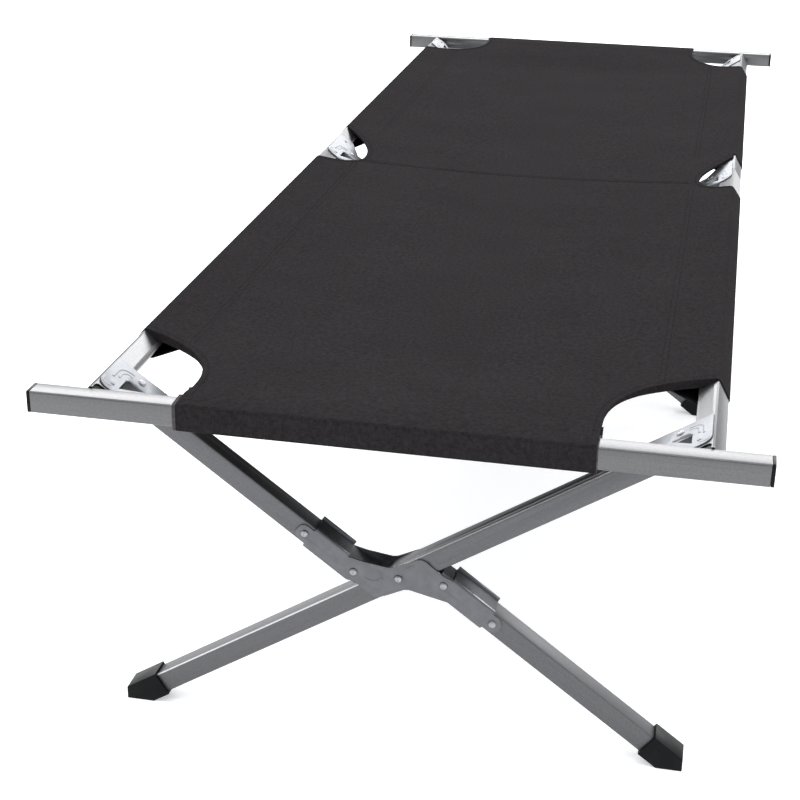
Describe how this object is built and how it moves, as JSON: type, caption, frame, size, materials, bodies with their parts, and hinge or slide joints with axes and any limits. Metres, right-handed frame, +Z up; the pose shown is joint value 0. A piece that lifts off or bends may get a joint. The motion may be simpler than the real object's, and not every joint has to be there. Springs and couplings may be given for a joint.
{
  "type": "folding camping cot",
  "caption": "Folding camping cot: taut sleeved cloth on square-tube rails, crossed legs with pressed centre brackets, corner plates, plastic feet and hooked end bars.",
  "frame": {"origin": "on the floor, under the middle of the bed", "axes": "+X across the bed to the right seen from the near end, +Y along the bed to the far end, +Z up"},
  "size_m": [0.7492, 2.0038, 0.4133],
  "materials": {
    "tube_aluminium": "satin anodised extrusion",
    "bracket_steel": "zinc-plated pressing",
    "rivet_steel": "bright plated",
    "black_plastic": "moulded satin",
    "bed_cloth": "coated plain weave polyester"
  },
  "bodies": {
    "right_frame": {"bed_fabric": "bed_cloth", "right_rail_near": "tube_aluminium", "right_rail_far": "tube_aluminium", "rail_plug_right_near": "black_plastic", "rail_plug_right_far": "black_plastic", "straight_leg_near": "tube_aluminium", "straight_leg_middle": "tube_aluminium", "straight_leg_far": "tube_aluminium", "corner_plate_right_near": "bracket_steel", "corner_plate_right_middle": "bracket_steel", "corner_plate_right_far": "bracket_steel", "corner_rivet_right_near": "rivet_steel", "corner_rivet_right_middle": "rivet_steel", "corner_rivet_right_far": "rivet_steel", "foot_left_near": "black_plastic", "foot_left_middle": "black_plastic", "foot_left_far": "black_plastic"},
    "left_frame": {"left_rail_near": "tube_aluminium", "left_rail_far": "tube_aluminium", "rail_plug_left_near": "black_plastic", "rail_plug_left_far": "black_plastic", "upper_leg_near": "tube_aluminium", "upper_leg_middle": "tube_aluminium", "upper_leg_far": "tube_aluminium", "lower_leg_near": "tube_aluminium", "lower_leg_middle": "tube_aluminium", "lower_leg_far": "tube_aluminium", "centre_bracket_near": "bracket_steel", "centre_bracket_middle": "bracket_steel", "centre_bracket_far": "bracket_steel", "centre_rivet_near": "rivet_steel", "centre_rivet_middle": "rivet_steel", "centre_rivet_far": "rivet_steel", "upper_inner_rivet_near": "rivet_steel", "upper_inner_rivet_middle": "rivet_steel", "upper_inner_rivet_far": "rivet_steel", "upper_outer_rivet_near": "rivet_steel", "upper_outer_rivet_middle": "rivet_steel", "upper_outer_rivet_far": "rivet_steel", "lower_inner_rivet_near": "rivet_steel", "lower_inner_rivet_middle": "rivet_steel", "lower_inner_rivet_far": "rivet_steel", "lower_outer_rivet_near": "rivet_steel", "lower_outer_rivet_middle": "rivet_steel", "lower_outer_rivet_far": "rivet_steel", "corner_plate_left_near": "bracket_steel", "corner_plate_left_middle": "bracket_steel", "corner_plate_left_far": "bracket_steel", "corner_rivet_left_near": "rivet_steel", "corner_rivet_left_middle": "rivet_steel", "corner_rivet_left_far": "rivet_steel", "foot_right_near": "black_plastic", "foot_right_middle": "black_plastic", "foot_right_far": "black_plastic"},
    "near_bar": {"end_bar_near": "tube_aluminium", "bar_plug_left_near": "black_plastic", "bar_plug_right_near": "black_plastic"},
    "far_bar": {"end_bar_far": "tube_aluminium", "bar_plug_left_far": "black_plastic", "bar_plug_right_far": "black_plastic"}
  },
  "joints": [
    {"name": "fold", "type": "hinge", "parent": "right_frame", "child": "left_frame", "pos_m": [0.0006, 0, 0.197], "axis": [0, 1, 0], "range_deg": [0, 109], "deforming": ["bed_fabric"]},
    {"name": "near_bar_slide", "type": "slide", "parent": "right_frame", "child": "near_bar", "axis": [0, -1, 0], "range_m": [0, 0.018], "deforming": ["bed_fabric"]},
    {"name": "far_bar_slide", "type": "slide", "parent": "right_frame", "child": "far_bar", "axis": [0, 1, 0], "range_m": [0, 0.018], "deforming": ["bed_fabric"]}
  ]
}
